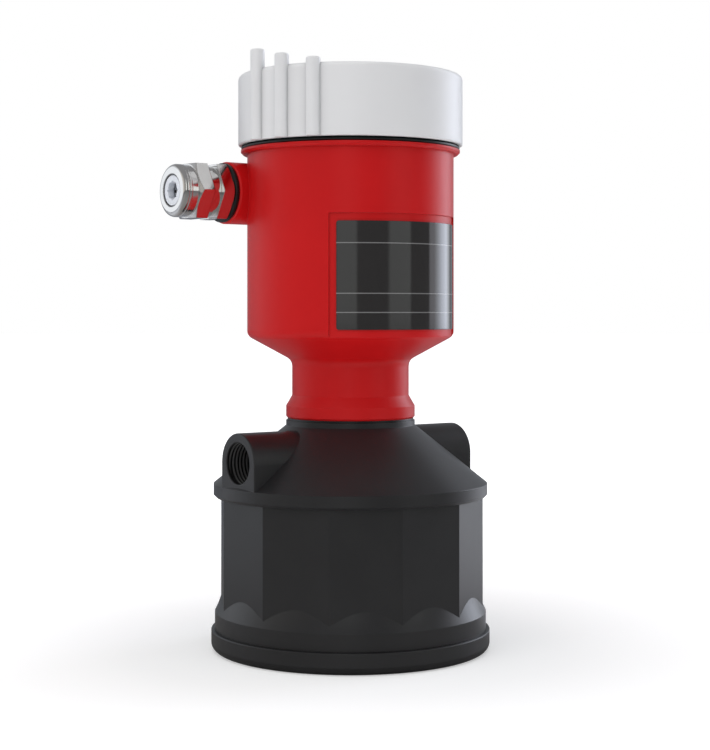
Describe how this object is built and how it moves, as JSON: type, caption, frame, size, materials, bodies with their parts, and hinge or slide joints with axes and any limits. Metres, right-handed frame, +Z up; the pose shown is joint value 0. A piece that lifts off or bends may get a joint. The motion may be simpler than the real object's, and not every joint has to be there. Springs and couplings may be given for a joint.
{
  "type": "ultrasonic level sensor",
  "caption": "Upright ultrasonic level sensor: black radiating head with side bosses, red housing on a neck, white screw lid and a metal cable gland.",
  "frame": {"origin": "centre of the radiating face at the bottom, which the sensor stands on", "axes": "+Z up along the sensor's axis to the lid, -Y towards the label, -X the way the cable gland points"},
  "size_m": [0.1422, 0.1294, 0.2739],
  "materials": {
    "head_black": "matte",
    "face_black": "matte",
    "housing_red": "satin",
    "lid_white": "satin",
    "label_dark": "gloss",
    "seal_black": "matte",
    "gland_nickel": "polished",
    "claw_grey": "satin",
    "matching_foam": "matte",
    "piezo_ceramic": "matte",
    "isolation_foam": "matte",
    "backing_rubber": "matte",
    "resin_black": "gloss",
    "wire_red": "satin",
    "probe_steel": "satin",
    "lead_grey": "satin",
    "board_green": "satin",
    "zinc_steel": "satin",
    "cover_grey": "matte",
    "terminal_green": "satin",
    "button_blue": "satin",
    "button_white": "satin",
    "switch_black": "satin",
    "led_clear": "gloss",
    "ferrite_dark": "matte",
    "winding_amber": "satin",
    "capacitor_sleeve": "satin",
    "chip_black": "satin",
    "header_black": "satin",
    "connector_white": "satin"
  },
  "bodies": {
    "root": {"face_cap": "face_black", "sensor_head": "head_black", "matching_layer": "matching_foam", "piezo_disc": "piezo_ceramic", "isolation_ring": "isolation_foam", "backing_pad": "backing_rubber", "electrode_wires": "wire_red", "temperature_probe": "probe_steel", "potting": "resin_black", "transducer_lead": "lead_grey", "head_ring": "seal_black", "housing": "housing_red", "label_plate": "label_dark", "lid_ring": "seal_black", "gland_ring": "seal_black", "gland_body": "gland_nickel", "gland_seal": "seal_black", "main_board": "board_green", "terminal_board": "board_green", "standoffs": "zinc_steel", "board_cover": "cover_grey", "board_screws": "zinc_steel", "terminal_block": "terminal_green", "terminal_screws": "zinc_steel", "button_switches": "switch_black", "status_led": "led_clear", "transformer_core": "ferrite_dark", "transformer_coil": "winding_amber", "capacitors": "capacitor_sleeve", "processor_chip": "chip_black", "power_inductor": "ferrite_dark", "link_header": "header_black", "link_socket": "header_black", "lead_connector": "connector_white", "lead_plug": "connector_white", "ground_washer": "zinc_steel", "ground_screw": "zinc_steel"},
    "lid_gasket_body": {"lid_gasket": "seal_black"},
    "lid_body": {"lid": "lid_white"},
    "gland_claw_body": {"gland_claw": "claw_grey"},
    "gland_nut_body": {"gland_nut": "gland_nickel"},
    "zero_button_body": {"zero_button": "button_white"},
    "span_button_body": {"span_button": "button_blue"}
  },
  "joints": [
    {"name": "lid_lift", "type": "slide", "parent": "root", "child": "lid_gasket_body", "axis": [0, 0, 1], "range_m": [0, 0.016]},
    {"name": "lid_turn", "type": "hinge", "parent": "lid_gasket_body", "child": "lid_body", "pos_m": [0, 0, 0.2333], "axis": [0, 0, 1], "range_deg": [0, 1440]},
    {"name": "gland_claw_slide", "type": "slide", "parent": "root", "child": "gland_claw_body", "axis": [-1, 0, 0], "range_m": [0, 0.0045]},
    {"name": "gland_nut_turn", "type": "hinge", "parent": "gland_claw_body", "child": "gland_nut_body", "pos_m": [-0.07, 0.032, 0.2115], "axis": [-1, 0, 0], "range_deg": [0, 1080]},
    {"name": "zero_button_press", "type": "slide", "parent": "root", "child": "zero_button_body", "axis": [0, 0, -1], "range_m": [0, 0.0008], "stiffness_N_per_m": 1500, "springref_m": -0.0004},
    {"name": "span_button_press", "type": "slide", "parent": "root", "child": "span_button_body", "axis": [0, 0, -1], "range_m": [0, 0.0008], "stiffness_N_per_m": 1500, "springref_m": -0.0004}
  ],
  "couplings": [
    {"joint": "lid_lift", "follows": "lid_turn", "m_per_rad": 0.00063662},
    {"joint": "gland_claw_slide", "follows": "gland_nut_turn", "m_per_rad": 0.00023873}
  ]
}
